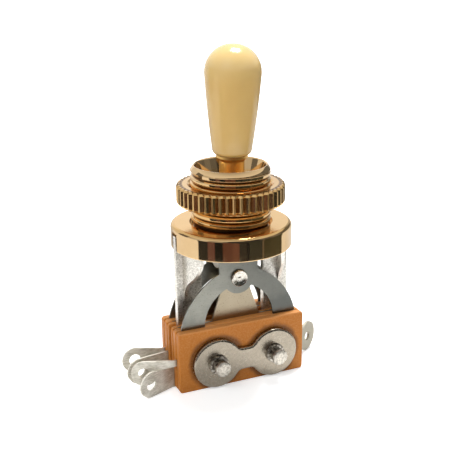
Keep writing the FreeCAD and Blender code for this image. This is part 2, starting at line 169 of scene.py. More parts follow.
class Circuit:
    """The node tree of a material or world."""

    def __init__(self, owner):
        owner.use_nodes = True
        self.tree = owner.node_tree
        self.tree.nodes.clear()

    def add(self, kind, settings=None, sockets=None, out=0):
        node = self.tree.nodes.new(kind)
        for name, value in (settings or {}).items():
            setattr(node, name, value)
        for name, value in (sockets or {}).items():
            self._feed(node.inputs[name], value)
        if not node.outputs:
            return node
        return Signal(self, node.outputs[out])

    def _feed(self, socket, value):
        if isinstance(value, Signal):
            self.tree.links.new(value.socket, socket)
        elif hasattr(value, "__len__") and socket.type == "RGBA":
            socket.default_value = (*value[:3], 1)
        else:
            socket.default_value = value

    def mix(self, factor, first, second):
        """A colour between two. A Mix node has its colours at sockets 6 and 7 and at output 2."""
        sockets = {0: factor, 6: first, 7: second}
        return self.add("ShaderNodeMix", {"data_type": "RGBA"}, sockets, out=2)

    def ramp(self, signal, stops, between="LINEAR"):
        """Tones along a signal. Each stop is a place from 0 to 1 and a grey or a colour."""
        tones = self.add("ShaderNodeValToRGB", {}, {0: signal})
        ramp = tones.socket.node.color_ramp
        ramp.interpolation = between
        ramp.elements.remove(ramp.elements[1])
        for index, (position, tone) in enumerate(stops):
            element = ramp.elements.new(position) if index else ramp.elements[0]
            element.position = position
            colour = tone if hasattr(tone, "__len__") else (tone, tone, tone)
            element.color = (*colour, 1)
        return tones

    def place(self, scale=(1, 1, 1)):
        """Object coordinates in millimetres, stretched."""
        raw = self.add("ShaderNodeTexCoord", out="Object")
        factors = tuple(s / MM for s in scale)
        return self.add("ShaderNodeMapping", {}, {"Vector": raw, "Scale": factors})

    def noise(self, where, scale, detail=2, roughness=0.5):
        sockets = {"Vector": where, "Scale": scale, "Detail": detail, "Roughness": roughness}
        return self.add("ShaderNodeTexNoise", {}, sockets)

    def step(self, signal, start, end):
        """0 up to start, 1 from end on, and a smooth rise between; start may be the larger."""
        settings = {"interpolation_type": "SMOOTHSTEP"}
        sockets = {"Value": signal, "From Min": start, "From Max": end}
        return self.add("ShaderNodeMapRange", settings, sockets)

    def axis(self, where, letter):
        """One component of a place."""
        parts = self.add("ShaderNodeSeparateXYZ", {}, {"Vector": where}).socket.node
        return Signal(self, parts.outputs[letter])

    def away_from(self, first, second):
        """The length of a flat step with the two given sides."""
        return (first * first + second * second) ** 0.5

    def bump(self, height, strength, distance):
        sockets = {"Height": height, "Strength": strength, "Distance": distance * MM}
        return self.add("ShaderNodeBump", {}, sockets)


def surface(name, build, constants):
    """A material. Its varying sockets come from build(circuit), the others are plain numbers."""
    material = bpy.data.materials.new(name)
    circuit = Circuit(material)
    sockets = dict(constants)
    sockets.update(build(circuit))
    shader = circuit.add("ShaderNodeBsdfPrincipled", {}, sockets)
    circuit.add("ShaderNodeOutputMaterial", {}, {"Surface": shader})
    print("finish:", name, len(circuit.tree.nodes), "nodes")
    return material


print("a material is built from signals: 1 - mask, mask * 0.3 and so on")

# %% [markdown]
# ## Gold plate
#
# The bushing, nut, cap and lever are turned parts under polished gold. What makes gold
# plate look real is not its colour but what it mirrors, so the surface stays smooth. A
# very fine wobble in roughness stands for handling, and faint turning marks run round
# the axis, which are bands of noise squeezed flat in Z. The grooves of a thread and the
# roots of the nut's knurl get painted shade, found by the distance from the axis. The foot
# of the bushing and the lever's stem get painted light, a warmer gold for the glow round
# them.

# %% Gold plate
gold_deep = (0.75, 0.50, 0.245)
gold_pale = (0.88, 0.63, 0.35)
painted_glow_orange = (0.80, 0.47, 0.15)
brushed_gold = (0.82, 0.50, 0.17)
painted_glow_gold = (1.0, 0.66, 0.21)
handled_gold = (0.72, 0.44, 0.155)
painted_groove_shade = (0.20, 0.09, 0.03)
painted_knurl_shade = (0.16, 0.07, 0.02)


def gold_signals(c):
    marks = c.noise(c.place((0.15, 0.15, 9)), 1.4, 3)
    cloud = c.noise(c.place(), 0.35, 3)
    spots = c.noise(c.place(), 3.0, 2)
    return {
        "Base Color": c.mix(cloud, gold_deep, gold_pale),
        "Roughness": 0.03 + marks * 0.05 + (spots ** 3) * 0.08,
        "Normal": c.bump(marks, 0.06, 0.006),
    }


def threaded_signals(c):
    """Gold with painted shade that makes the thread grooves darker than the crests, and painted
    glow that makes it warmer low down.
    """
    signals = gold_signals(c)
    where = c.place()
    radius = c.away_from(c.axis(where, "X"), c.axis(where, "Y"))
    height = c.axis(where, "Z")
    under_crests = c.step(radius, 5.85, 5.6)
    outside_funnel = c.step(radius, 5.45, 5.55)
    under_rim = c.step(height, 7.9, 7.6)
    groove = under_crests * outside_funnel * under_rim
    # Painted glow: the foot of the bushing is warmed towards orange.
    low = c.step(height, 7.2, 6.6)
    signals["Base Color"] = c.mix(low * 0.5, signals["Base Color"], painted_glow_orange)
    # Painted shade: the thread grooves are darkened.
    signals["Base Color"] = c.mix(groove * 0.8, signals["Base Color"], painted_groove_shade)
    signals["Roughness"] = signals["Roughness"] + groove * 0.25
    return signals


def cap_signals(c):
    """Gold whose flat top is brushed and whose skirt is polished."""
    signals = gold_signals(c)
    top = c.step(c.axis(c.place(), "Z"), -0.5, -0.1)
    signals["Roughness"] = signals["Roughness"] + top * 0.09
    signals["Base Color"] = c.mix(top * 0.7, signals["Base Color"], brushed_gold)
    return signals


def lever_signals(c):
    """Softer gold for the stem, which stands in the funnel; a warmer, brighter base colour is
    painted light for the funnel's glow.
    """
    signals = gold_signals(c)
    signals["Roughness"] = signals["Roughness"] + 0.34
    # Painted light: a warmer, brighter gold for the funnel's glow.
    signals["Base Color"] = c.mix(0.9, signals["Base Color"], painted_glow_gold)
    return signals


def nut_signals(c):
    """Warmer gold, a little dull from handling, with painted shade between the teeth."""
    signals = gold_signals(c)
    where = c.place()
    radius = c.away_from(c.axis(where, "X"), c.axis(where, "Y"))
    tip = c.step(radius, 8.08, 8.13)
    root = c.step(radius, 7.8, 7.55) * c.step(radius, 7.1, 7.3)
    signals["Roughness"] = signals["Roughness"] + 0.1 + tip * 0.13
    signals["Base Color"] = c.mix(0.7, signals["Base Color"], handled_gold)
    # Painted shade at the roots of the knurl, between the teeth.
    signals["Base Color"] = c.mix(root * 0.75, signals["Base Color"], painted_knurl_shade)
    return signals


bare_metal = {"Metallic": 1.0}
gold_plate = surface("gold_plate", gold_signals, bare_metal)
nut_gold = surface("nut_gold", nut_signals, bare_metal)
cap_gold = surface("cap_gold", cap_signals, bare_metal)
lever_gold = surface("lever_gold", lever_signals, bare_metal)
threaded_gold = surface("threaded_gold", threaded_signals, bare_metal)

# %% [markdown]
# ## Nickel, spring metal and steel
#
# The can and clamp plates are barrel-plated, which leaves a grainy satin. Grain is noise
# at a tenth of a millimetre, fed to roughness and to a shallow bump. The leaves are
# rolled strip, so their marks run one way: the same noise, stretched along X. Their
# solder lugs, which start beyond the plates, are tinned and paler, and the ground lug on
# the right has a darker tin as painted shade. The arched blades get painted shade that
# deepens downwards and to the right.

# %% Nickel and strip metals
lug_start = 10.2
lug_full = 10.8
tin_dull = (0.50, 0.47, 0.39)
tin_bright = (0.78, 0.75, 0.67)
ground_lug_painted_shade = (0.42, 0.39, 0.31)
painted_blade_shade = (0.085, 0.09, 0.085)
pit_brown = (0.16, 0.13, 0.1)
pin_stain = (0.085, 0.072, 0.055)


def grainy(pale, dark, grain_scale, rough_low, rough_span, bump_depth):
    def signals(c):
        grain = c.noise(c.place(), grain_scale, 3, 0.6)
        cloud = c.noise(c.place(), 0.5, 2)
        mottled = c.ramp(grain * 0.75 + cloud * 0.25, [(0.38, 0.0), (0.60, 1.0)])
        return {
            "Base Color": c.mix(mottled, dark, pale),
            "Roughness": rough_low + grain * rough_span,
            "Normal": c.bump(grain, 0.35, bump_depth),
        }
    return signals


def rolled(pale, dark, pitted, shade):
    def signals(c):
        lines = c.noise(c.place((0.25, 1, 3.5)), 3.0, 3, 0.6)
        cloud = c.noise(c.place(), 0.6, 2)
        pits = c.noise(c.place(), 5.0, 1) > 0.68
        where = c.place()
        across = c.axis(where, "X")
        ground_lug = c.step(across, lug_start, lug_full)
        lug = c.step(across, -lug_start, -lug_full) + ground_lug
        # Painted shade: darker downwards and to the right, as far as the shade argument asks.
        low = c.step(c.axis(where, "Z") + cloud * 2, -9.5, -14.5)
        right_side = c.step(across, -6.5, 4.0)
        painted_shade = (low * shade + right_side * shade * 1.3).at_most(0.85)
        strip = c.mix(lines * 0.5 + cloud * 0.5, dark, pale)
        strip = c.mix(painted_shade, strip, painted_blade_shade)
        strip = c.mix(pits * pitted, strip, pit_brown)
        mottled = c.ramp(lines * 0.6 + cloud * 0.4, [(0.42, 0.0), (0.58, 1.0)])
        tin = c.mix(mottled, tin_dull, tin_bright)
        # Painted shade: the ground lug on the right gets a darker tin.
        tin = c.mix(ground_lug, tin, ground_lug_painted_shade)
        return {
            "Base Color": c.mix(lug, strip, tin),
            "Metallic": 1.0 - lug * 0.5,
            "Roughness": 0.24 + lines * 0.2 + pits * 0.2 + lug * 0.22,
            "Normal": c.bump(lines, 0.25, 0.01),
        }
    return signals


pin_end = max(abs(corner.y) for corner in corners_of("left_clamp_pin")) / MM


def pin_signals(c):
    """A pale hammered end in front of darker, stained sides."""
    signals = grainy(pale=(0.72, 0.68, 0.60), dark=(0.34, 0.31, 0.26), grain_scale=3.5,
                     rough_low=0.2, rough_span=0.25, bump_depth=0.12)(c)
    from_middle = c.away_from(c.axis(c.place(), "Y"), 0.0)
    behind = pin_end - from_middle
    stains = c.noise(c.place(), 2.2, 2)
    stained = c.step(behind, 0.25, 0.5) * c.step(stains, 0.42, 0.58)
    signals["Base Color"] = c.mix(stained * 0.8, signals["Base Color"], pin_stain)
    return signals


can_nickel = surface("can_nickel", grainy(
    pale=(0.93, 0.90, 0.83), dark=(0.50, 0.47, 0.41), grain_scale=5.0,
    rough_low=0.26, rough_span=0.3, bump_depth=0.04), bare_metal)
clamp_nickel = surface("clamp_nickel", grainy(
    pale=(0.37, 0.327, 0.26), dark=(0.315, 0.275, 0.216), grain_scale=2.4,
    rough_low=0.2, rough_span=0.12, bump_depth=0.006), bare_metal)
contact_silver = surface("contact_silver", grainy(
    pale=(0.80, 0.77, 0.70), dark=(0.48, 0.44, 0.37), grain_scale=3.0,
    rough_low=0.18, rough_span=0.15, bump_depth=0.02), bare_metal)
leaf_steel = surface("leaf_steel", rolled(
    pale=(0.42, 0.41, 0.35), dark=(0.20, 0.205, 0.185), pitted=0.25, shade=0.45), {})
tapered_metal = surface("tapered_metal", rolled(
    pale=(0.45, 0.385, 0.28), dark=(0.33, 0.275, 0.19), pitted=0.7, shade=0.0), {})
pin_steel = surface("pin_steel", pin_signals, bare_metal)

# %% [markdown]
# ## Phenolic board and plastics
#
# The insulators are pressed from paper soaked in resin. Their faces are orange-brown
# with a faint cloud and tiny fibre flecks, and a cut edge shows the layers. A painted
# highlight makes the top edges paler. Round the clamp plate, resin that was pressed out
# leaves a darker, glossier stain. The tip is cream moulded plastic, glossy, with painted
# light that makes its dome palest, and a slight warmth inside, which a little subsurface
# scattering gives.

# %% Board and plastics
pin_places = []
for name in ("left_clamp_pin", "right_clamp_pin"):
    middle = middle_of(corners_of(name))
    pin_places.append((middle.x / MM, middle.z / MM))
plate_top = max(corner.z for corner in corners_of("front_outer_insulator")) / MM
print("clamp pins at", [[round(v, 2) for v in spot] for spot in pin_places])

stain_r = 4.9
stain_full_r = 4.1
board_deep = (0.41, 0.125, 0.012)
board_pale = (0.55, 0.195, 0.028)
fibre_tone = (0.64, 0.31, 0.10)
top_highlight_tone = (0.76, 0.46, 0.22)
resin_stain = (0.13, 0.045, 0.006)
dome_light_cream = (0.72, 0.55, 0.25)


def phenolic_signals(c):
    fibre = c.noise(c.place((0.6, 1, 0.6)), 7.0, 3, 0.6)
    cloud = c.noise(c.place(), 0.4, 3)
    layers = c.noise(c.place((0.05, 7, 0.05)), 2.0, 1)
    board = c.mix(cloud * 0.6 + layers * 0.4, board_deep, board_pale)
    flecks = c.ramp(fibre, [(0.40, 0.0), (0.72, 1.0)])
    board = c.mix(flecks * 0.3, board, fibre_tone)
    where = c.place()
    wobble = (cloud - 0.5) * 1.2
    stain = 0.0
    for pin_x, pin_z in pin_places:
        distance = c.away_from(c.axis(where, "X") - pin_x, c.axis(where, "Z") - pin_z)
        stain = c.step(distance + wobble, stain_r, stain_full_r) + stain
    stain = stain.at_most(1.0)
    # Painted highlight: a paler band along the plates' top edges.
    painted_top_highlight = c.step(c.axis(where, "Z") + wobble * 0.2, plate_top - 0.3, plate_top - 0.08)
    board = c.mix(painted_top_highlight * 0.2, board, top_highlight_tone)
    return {
        "Base Color": c.mix(stain * 0.8, board, resin_stain),
        "Roughness": 0.36 + fibre * 0.25 - stain * 0.2,
        "Normal": c.bump(fibre, 0.3, 0.02),
    }


def moulded(pale, dark, rough_low, rough_span):
    def signals(c):
        cloud = c.noise(c.place(), 0.25, 3)
        skin = c.noise(c.place(), 4.0, 2)
        return {
            "Base Color": c.mix(cloud, dark, pale),
            "Roughness": rough_low + skin * rough_span,
            "Normal": c.bump(skin, 0.06, 0.01),
        }
    return signals


def tip_signals(c):
    """Cream plastic with painted light that makes the dome palest."""
    signals = moulded(pale=(0.61, 0.405, 0.142), dark=(0.54, 0.345, 0.11),
                      rough_low=0.14, rough_span=0.1)(c)
    # Painted light: the dome is paler towards its top.
    painted_dome_light = c.step(c.axis(c.place(), "Z"), 20.5, 25.5)
    signals["Base Color"] = c.mix(painted_dome_light * 0.6, signals["Base Color"], dome_light_cream)
    return signals


phenolic = surface("phenolic", phenolic_signals, {"Specular IOR Level": 0.25})
tip_plastic = surface("tip_plastic", tip_signals, {
    "Coat Weight": 0.3, "Coat Roughness": 0.08, "Subsurface Weight": 0.12,
    "Subsurface Radius": (1.0, 0.7, 0.4), "Subsurface Scale": 1.5 * MM,
})
sleeve_plastic = surface("sleeve_plastic", moulded(
    pale=(0.78, 0.72, 0.6), dark=(0.7, 0.63, 0.5), rough_low=0.35, rough_span=0.15), {})
shoe_nylon = surface("shoe_nylon", moulded(
    pale=(0.82, 0.8, 0.72), dark=(0.74, 0.71, 0.62), rough_low=0.3, rough_span=0.15), {})

# %% [markdown]
# ## Finishes for the solids
#
# The record names the finish of each solid, and the cap and lever have a gold of their
# own. Only the material slots of the loaded objects are changed; their meshes stay as
# they came.

# %% Give each solid its finish
finishes = {
    "gold_plate": gold_plate, "can_nickel": can_nickel, "clamp_nickel": clamp_nickel,
    "leaf_steel": leaf_steel, "tapered_metal": tapered_metal, "contact_silver": contact_silver,
    "pin_steel": pin_steel, "phenolic": phenolic, "sleeve_plastic": sleeve_plastic,
    "shoe_nylon": shoe_nylon, "tip_plastic": tip_plastic,
}
own_finishes = {"cap": cap_gold, "lever": lever_gold}
for entry in frame["record"]["subparts"]:
    name = entry["node"]
    materials = frame["nodes"][name].data.materials
    materials.clear()
    materials.append(own_finishes.get(name, finishes[entry["material_slot"]]))
print(len(frame["nodes"]), "solids have one of", len(finishes), "finishes")

# %% [markdown]
# ## Turned pieces
#
# A lathe makes a round part from one outline. `turned_mesh` does the same: it takes
# (radius, height) points in millimetres, carries them round Z and turns the faces
# outwards. An outline that starts and ends on the axis is closed there by itself, and any
# other gets one more row of faces from its last point to its first.

# %% A small lathe
lathe_steps = 96


def turned_mesh(name, outline, steps=lathe_steps):
    """A mesh turned round Z from (radius, height) points."""
    shape = bmesh.new()
    rings = []
    for radius, height in outline:
        ring = []
        for i in range(steps):
            angle = 2 * math.pi * i / steps
            x = radius * MM * math.cos(angle)
            y = radius * MM * math.sin(angle)
            ring.append(shape.verts.new((x, y, height * MM)))
        rings.append(ring)
    rows = list(zip(rings, rings[1:] + rings[:1]))
    if outline[0][0] == outline[-1][0] == 0:
        rows.pop()
    for lower, upper in rows:
        for i in range(steps):
            j = (i + 1) % steps
            shape.faces.new((lower[i], lower[j], upper[j], upper[i]))
    bmesh.ops.remove_doubles(shape, verts=shape.verts, dist=0.0001 * MM)
    bmesh.ops.recalc_face_normals(shape, faces=shape.faces)
    mesh = bpy.data.meshes.new(name)
    shape.to_mesh(mesh)
    shape.free()
    return mesh


def smooth_by_angle(mesh, degrees):
    """Smooth shading, apart from edges sharper than the given angle."""
    shape = bmesh.new()
    shape.from_mesh(mesh)
    limit = math.radians(degrees)
    for face in shape.faces:
        face.smooth = True
    for edge in shape.edges:
        edge.smooth = len(edge.link_faces) == 2 and edge.calc_face_angle(0) < limit
    shape.to_mesh(mesh)
    shape.free()


def shown(mesh, material):
    """The mesh as an object in the scene, all of one material."""
    mesh.materials.clear()
    mesh.materials.append(material)
    piece = bpy.data.objects.new(mesh.name, mesh)
    bpy.context.collection.objects.link(piece)
    return piece


print("the lathe goes round in", lathe_steps, "steps")

# %% [markdown]
# ## Geometry Nodes from a script
#
# What repeats or follows a path is grown by Geometry Nodes. `Growth` is the same idea as
# `Circuit`, for geometry: a tree with named inputs, ending in Realize Instances and Set
# Material. The result is taken as a plain mesh and the modifier's object is removed.

# %% Growth trees
class Growth:
    """A geometry tree that is built in the script and taken as a plain mesh."""

    def __init__(self, name, sizes):
        self.tree = bpy.data.node_groups.new(name, "GeometryNodeTree")
        sockets = self.tree.interface
        sockets.new_socket("Geometry", in_out="OUTPUT", socket_type="NodeSocketGeometry")
        self.values = []
        for label, value in sizes.items():
            kind = "NodeSocketInt" if isinstance(value, int) else "NodeSocketFloat"
            socket = sockets.new_socket(label, in_out="INPUT", socket_type=kind)
            self.values.append((socket.identifier, value))
        self.inputs = self.tree.nodes.new("NodeGroupInput")
        self.name = name

    def size(self, label):
        """One of the tree's named inputs."""
        return self.inputs.outputs[label]

    def add(self, kind, settings=None, sockets=None):
        node = self.tree.nodes.new(kind)
        for name, value in (settings or {}).items():
            setattr(node, name, value)
        for name, value in (sockets or {}).items():
            if isinstance(value, bpy.types.NodeSocket):
                self.tree.links.new(value, node.inputs[name])
            else:
                node.inputs[name].default_value = value
        return node.outputs

    def maths(self, operation, first, second):
        return self.add("ShaderNodeMath", {"operation": operation}, {0: first, 1: second})[0]

    def take(self, geometry, material):
        """Ends the tree, evaluates it on an empty mesh and returns the mesh it grew."""
        real = self.add("GeometryNodeRealizeInstances", {}, {"Geometry": geometry})[0]
        painted = self.add("GeometryNodeSetMaterial", {}, {
            "Geometry": real, "Material": material,
        })[0]
        end = self.tree.nodes.new("NodeGroupOutput")
        self.tree.links.new(painted, end.inputs[0])
        seed = bpy.data.objects.new(self.name + "_seed", bpy.data.meshes.new(self.name + "_seed"))
        bpy.context.collection.objects.link(seed)
        modifier = seed.modifiers.new("growth", "NODES")
        modifier.node_group = self.tree
        for identifier, value in self.values:
            modifier[identifier] = value
        evaluated = seed.evaluated_get(bpy.context.evaluated_depsgraph_get())
        mesh = bpy.data.meshes.new_from_object(evaluated)
        mesh.name = self.name
        bpy.data.objects.remove(seed)
        print("grown:", self.name, len(mesh.polygons), "faces")
        return mesh


def joined(name, meshes):
    """Several meshes as one."""
    shape = bmesh.new()
    for mesh in meshes:
        shape.from_mesh(mesh)
    mesh = bpy.data.meshes.new(name)
    shape.to_mesh(mesh)
    shape.free()
    return mesh


print("growth trees are ready")

# %% [markdown]
# ## The fine thread
#
# The bushing carries a fine metric thread, 12 mm over the crests with a 1 mm pitch. A
# thread is one ridge that climbs a cylinder, so the tree draws a spiral and sweeps a
# six-sided profile along it: a hexagon with a flat side outwards has the 60 degree flanks
# of a real thread, and a fillet rounds its crest. The core under it is a lathe outline
# with the bevelled rim and the funnel that the lever swings in.

# %% Bushing with its thread
thread_pitch = 1.0
crest_r = 6.0
core_r = 5.56
thread_bottom = 0.25
thread_top = 7.75
thread_start_turn = math.radians(24)
half_a_side = math.pi / 6  # half of the angle that one side of a hexagon spans

ridge = Growth("thread_ridge", {
    "Crest radius": crest_r * MM,
    "Ridge size": 0.5 * MM,
    "Crest rounding": 0.14 * MM,
    "Height": (thread_top - thread_bottom) * MM,
    "Turns": (thread_top - thread_bottom) / thread_pitch,
    "Steps per turn": 72,
})
ridge_reach = ridge.maths("MULTIPLY", ridge.size("Ridge size"), math.cos(half_a_side))
path_r = ridge.maths("SUBTRACT", ridge.size("Crest radius"), ridge_reach)
spiral = ridge.add("GeometryNodeCurveSpiral", {}, {
    "Resolution": ridge.size("Steps per turn"),
    "Rotations": ridge.size("Turns"),
    "Start Radius": path_r,
    "End Radius": path_r,
    "Height": ridge.size("Height"),
})[0]
level = ridge.add("GeometryNodeSetCurveNormal", {"mode": "Z_UP"}, {"Curve": spiral})[0]
profile = ridge.add("GeometryNodeCurvePrimitiveCircle", {}, {
    "Resolution": 6,
    "Radius": ridge.size("Ridge size"),
})[0]
profile = ridge.add("GeometryNodeFilletCurve", {"mode": "POLY"}, {
    "Curve": profile, "Count": 3, "Radius": ridge.size("Crest rounding"),
})[0]
profile = ridge.add("GeometryNodeTransform", {}, {
    "Geometry": profile, "Rotation": (0, 0, half_a_side),
})[0]
swept = ridge.add("GeometryNodeCurveToMesh", {}, {
    "Curve": level, "Profile Curve": profile, "Fill Caps": True,
})[0]
raised = ridge.add("GeometryNodeTransform", {}, {
    "Geometry": swept,
    "Translation": (0, 0, thread_bottom * MM),
    "Rotation": (0, 0, thread_start_turn),
})[0]
ridge_mesh = ridge.take(raised, gold_plate)
reach = [math.hypot(v.co.x, v.co.y) / MM for v in ridge_mesh.vertices]
print("thread ridge reaches from", round(min(reach), 2), "to", round(max(reach), 2), "mm")

# %% The core under the thread, and the whole bushing
bushing_core = turned_mesh("bushing_core", [
    (2.75, -2.36), (7.2, -2.36), (7.2, -0.76), (core_r, -0.76),
    (core_r, 7.3), (5.92, 7.85), (crest_r, 7.95), (5.98, 8.05), (5.62, 8.6), (5.5, 8.7),
    (5.4, 8.69), (5.31, 8.6), (5.28, 8.5), (5.24, 8.37), (2.95, 1.17), (2.8, 0.7), (2.75, 0.5),
])
bushing_mesh = joined("threaded_bushing_gold", [bushing_core, ridge_mesh])
smooth_by_angle(bushing_mesh, degrees=32)
bushing = shown(bushing_mesh, threaded_gold)
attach(bushing, "housing")
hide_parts("threaded_bushing")
print("bushing:", len(bushing_mesh.polygons), "faces")

# %% [markdown]
# ## The knurled nut
#
# The nut is gripped by its straight knurl: 48 V-shaped teeth, whose ends are cut back a
# little. One tooth is a square bar that stands on its corner, with a narrow flat along
# its tip and narrower ends, and Geometry Nodes puts a copy on each of the 48 points of a
# circle. The body between the teeth is a lathe ring.

# %% Nut with its teeth
nut_z = 3.0
nut_height = 2.9
tooth = Growth("nut_teeth", {
    "Teeth": 48,
    "Tip radius": 8.13 * MM,
    "Tooth size": 0.66 * MM,
    "Tip flat": 0.17 * MM,
    "Blunted end": 0.62,
    "Height": nut_height * MM,
    "Foot height": nut_z * MM,
    "First tooth": math.radians(2.7),
})
section = tooth.add("GeometryNodeCurvePrimitiveCircle", {}, {
    "Resolution": 4, "Radius": tooth.size("Tooth size"),
})[0]
section = tooth.add("GeometryNodeFilletCurve", {"mode": "POLY"}, {
    "Curve": section, "Count": 1, "Radius": tooth.size("Tip flat"),
})[0]
top_end = tooth.add("ShaderNodeCombineXYZ", {}, {"Z": tooth.size("Height")})[0]
upright = tooth.add("GeometryNodeCurvePrimitiveLine", {}, {"Start": (0, 0, 0), "End": top_end})[0]
upright = tooth.add("GeometryNodeResampleCurve", {}, {"Curve": upright, "Count": 10})[0]
both_ends = tooth.add("GeometryNodeCurveEndpointSelection")[0]
width = tooth.add("GeometryNodeSwitch", {"input_type": "FLOAT"}, {
    "Switch": both_ends, "False": 1.0, "True": tooth.size("Blunted end"),
})[0]
one_tooth = tooth.add("GeometryNodeCurveToMesh", {}, {
    "Curve": upright, "Profile Curve": section, "Scale": width, "Fill Caps": True,
})[0]
cut_off = tooth.maths("MULTIPLY", tooth.size("Tip flat"), math.sqrt(0.5))
tooth_reach = tooth.maths("SUBTRACT", tooth.size("Tooth size"), cut_off)
path_r = tooth.maths("SUBTRACT", tooth.size("Tip radius"), tooth_reach)
circle = tooth.add("GeometryNodeCurvePrimitiveCircle", {}, {
    "Resolution": tooth.size("Teeth"), "Radius": path_r,
})[0]
points = tooth.add("GeometryNodeCurveToPoints", {"mode": "EVALUATED"}, {"Curve": circle})[0]
outward = tooth.add("FunctionNodeAlignEulerToVector", {"axis": "X"}, {
    "Vector": tooth.add("GeometryNodeInputPosition")[0],
})[0]
row = tooth.add("GeometryNodeInstanceOnPoints", {}, {
    "Points": points, "Instance": one_tooth, "Rotation": outward,
})[0]
lift = tooth.add("ShaderNodeCombineXYZ", {}, {"Z": tooth.size("Foot height")})[0]
turn = tooth.add("ShaderNodeCombineXYZ", {}, {"Z": tooth.size("First tooth")})[0]
lifted = tooth.add("GeometryNodeTransform", {}, {
    "Geometry": row, "Translation": lift, "Rotation": turn,
})[0]
teeth_mesh = tooth.take(lifted, gold_plate)
reach = [math.hypot(v.co.x, v.co.y) / MM for v in teeth_mesh.vertices]
print("teeth reach from", round(min(reach), 2), "to", round(max(reach), 2), "mm")

# %% The nut's ring, and the whole nut
nut_top = nut_z + nut_height
nut_bore_r = 6.06
nut_body_r = 7.62
nut_ring = turned_mesh("nut_ring", [
    (nut_bore_r, nut_z + 0.45), (6.5, nut_z), (7.45, nut_z), (nut_body_r, nut_z + 0.25),
    (nut_body_r, nut_top - 0.25), (7.45, nut_top), (6.5, nut_top), (nut_bore_r, nut_top - 0.45),
])
nut_mesh = joined("knurled_nut_gold", [nut_ring, teeth_mesh])
smooth_by_angle(nut_mesh, degrees=15)
nut = shown(nut_mesh, nut_gold)
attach(nut, "nut")
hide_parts("knurled_nut")
print("nut:", len(nut_mesh.polygons), "faces")

# %% [markdown]
# ## The contact rivets
#
# Each arched blade carries a contact rivet. Its outer head is a shallow dish, in which
# the riveting tool left a ring, and its inner face is slightly crowned. It is a lathe
# outline again, turned to point along Y and set into the place that its solid had.

# %% Dished rivets
head_depth = 0.45
neck_depth = 0.3
face_r = 0.95


def dished_rivet(name, solid_name, outward):
    """A rivet in its solid's place, whose head faces outward along Y, -1 or 1."""
    corners = corners_of(solid_name)
    depths = [corner.y * outward / MM for corner in corners]
    heights = [corner.z / MM for corner in corners]
    head_r = (max(heights) - min(heights)) / 2
    top, bottom = max(depths), min(depths)
    seat = top - head_depth
    shoulder = seat - neck_depth
    mesh = turned_mesh(name, [
        (0, top - 0.17), (0.2, top - 0.18), (0.27, top - 0.21), (0.35, top - 0.19),
        (0.5, top - 0.2), (0.6, top - 0.18), (0.9, top - 0.1), (1.18, top), (1.26, top - 0.04),
        (1.31, top - 0.14), (head_r, seat), (head_r / 2, seat), (head_r / 2, shoulder),
        (face_r, shoulder), (face_r, bottom + 0.08), (0.5, bottom + 0.02), (0, bottom),
    ], lathe_steps // 2)
    turn = Matrix.Rotation(-outward * math.pi / 2, 4, "X")
    lift = Matrix.Translation((0, 0, (max(heights) + min(heights)) / 2 * MM))
    mesh.transform(lift @ turn)
    smooth_by_angle(mesh, degrees=40)
    print(name, "head radius", round(head_r, 2), "mm, from", round(bottom, 2), "to", round(top, 2))
    return shown(mesh, contact_silver)


for side, outward in (("front", -1), ("rear", 1)):
    rivet = dished_rivet(side + "_contact_rivet", side + "_blade_contact", outward)
    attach(rivet, side + "_blade")
    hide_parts(side + "_blade_contact")

# %% [markdown]
# ## Hammered pin ends
#
# The clamping pins were spread with a few hammer blows, so their ends are wider than
# the pins and not quite round. Twelve steps round the lathe outline give such facets.

# %% Pin ends
spread_r = 1.28
spread_depth = 0.78
facets = 12
inside_box = 0.01 * MM
end_outline = [
    (0, 0), (0.75, -0.01), (1.1, -0.05), (1.24, -0.16), (spread_r, -0.32), (1.2, -0.55),
    (0.95, -spread_depth), (0, -spread_depth),
]
for name in ("left_clamp_pin", "right_clamp_pin"):
    corners = corners_of(name)
    middle = middle_of(corners)
    for side, facing in (("front", -1), ("rear", 1)):
        reach = max(corner.y * facing for corner in corners)
        spread = turned_mesh(side + "_" + name + "_end", end_outline, facets)
        turn = Matrix.Rotation(-facing * math.pi / 2, 4, "X")
        shift = Matrix.Translation((middle.x, facing * (reach - inside_box), middle.z))
        spread.transform(shift @ turn)
        smooth_by_angle(spread, degrees=25)
        pin_head = shown(spread, pin_steel)
        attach(pin_head, "housing")
print("4 hammered ends of", 2 * spread_r, "mm")

# %% [markdown]
# ## Resin in the seams
#
# Each arched blade is clamped between two plates, and between its legs the slot is
# filled with resin that the clamping pressed out. A straight line is resampled, pushed
# about a little by noise and swept with a small circle.

